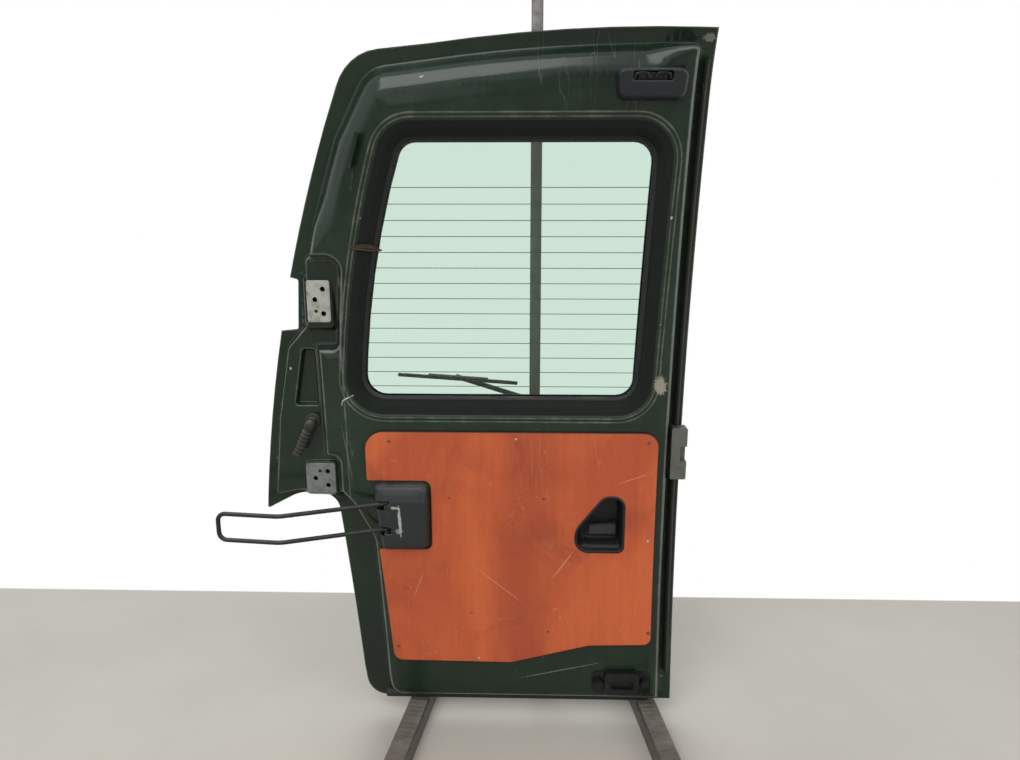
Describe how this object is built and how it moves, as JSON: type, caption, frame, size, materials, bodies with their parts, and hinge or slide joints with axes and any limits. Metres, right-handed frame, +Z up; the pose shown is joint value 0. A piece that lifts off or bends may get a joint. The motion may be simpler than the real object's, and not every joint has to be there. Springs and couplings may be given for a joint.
{
  "type": "campervan rear barn door on its workshop stand",
  "caption": "Rear barn door of a campervan with window, wiper, plywood trim, latches and wire check loop, resting on a steel stand with splayed feet.",
  "frame": {"origin": "middle of the part's footprint on the floor", "axes": "+Z up, +X from the hinge side to the closing edge seen from inside, +Y out of the vehicle"},
  "size_m": [0.8342, 0.5806, 1.326],
  "materials": {
    "green_paint": "dark green body paint with dirt, chips and light scratches",
    "bare_primer": "pale primer where the hinges were bolted, with green overspray",
    "tinted_glass": "clear glass with a faint green tint",
    "black_rubber": "dusty black rubber",
    "stained_plywood": "plywood stained orange red, scuffed",
    "black_plastic": "grained black plastic with pale scuffs",
    "zinc_steel": "dull zinc plated steel",
    "greasy_steel": "black coated steel with grease",
    "black_wire": "satin black coating",
    "worn_steel": "grey coated steel, worn at the edges"
  },
  "bodies": {
    "root": {"outer_skin": "green_paint", "inner_pressing": "green_paint", "hinge_plate_upper": "bare_primer", "hinge_plate_lower": "bare_primer", "window_glass": "tinted_glass", "window_seal": "black_rubber", "trim_board": "stained_plywood", "check_cover": "black_plastic", "check_bracket": "zinc_steel", "handle_cup": "black_plastic", "top_latch_cover": "black_plastic", "top_latch": "zinc_steel", "bottom_latch": "greasy_steel", "centre_lock": "zinc_steel", "meeting_seal": "black_rubber", "bottom_seal": "black_rubber", "loom_grommet": "black_rubber", "loom_boot": "black_rubber", "guide_fin": "green_paint", "wiper_housing": "black_plastic", "outer_handle_bezel": "black_plastic", "outer_handle_grip": "black_plastic", "key_barrel": "zinc_steel", "stand_mast": "worn_steel", "mast_bumper": "black_rubber", "stand_crossbar": "worn_steel", "foot_left": "worn_steel", "foot_right": "worn_steel", "foot_tread_left": "black_rubber", "foot_tread_right": "black_rubber"},
    "check": {"check_loop": "black_wire"},
    "lever": {"handle_lever": "black_plastic"},
    "wiper": {"wiper_arm": "black_wire", "wiper_blade_frame": "black_wire", "wiper_rubber": "black_rubber"}
  },
  "joints": [
    {"name": "check_swing", "type": "hinge", "parent": "root", "child": "check", "pos_m": [-0.12307, -0.0173, 0.422], "axis": [0, 0, 1], "range_deg": [-10, 60]},
    {"name": "lever_pull", "type": "hinge", "parent": "root", "child": "lever", "pos_m": [0.28893, 0.0077, 0.393], "axis": [0, 0, 1], "range_deg": [0, 35], "stiffness_Nm_per_rad": 0.3},
    {"name": "wiper_sweep", "type": "hinge", "parent": "root", "child": "wiper", "pos_m": [0.21393, 0.03607, 0.598], "axis": [0, 0.9967, 0.0817], "range_deg": [0, 105]}
  ]
}
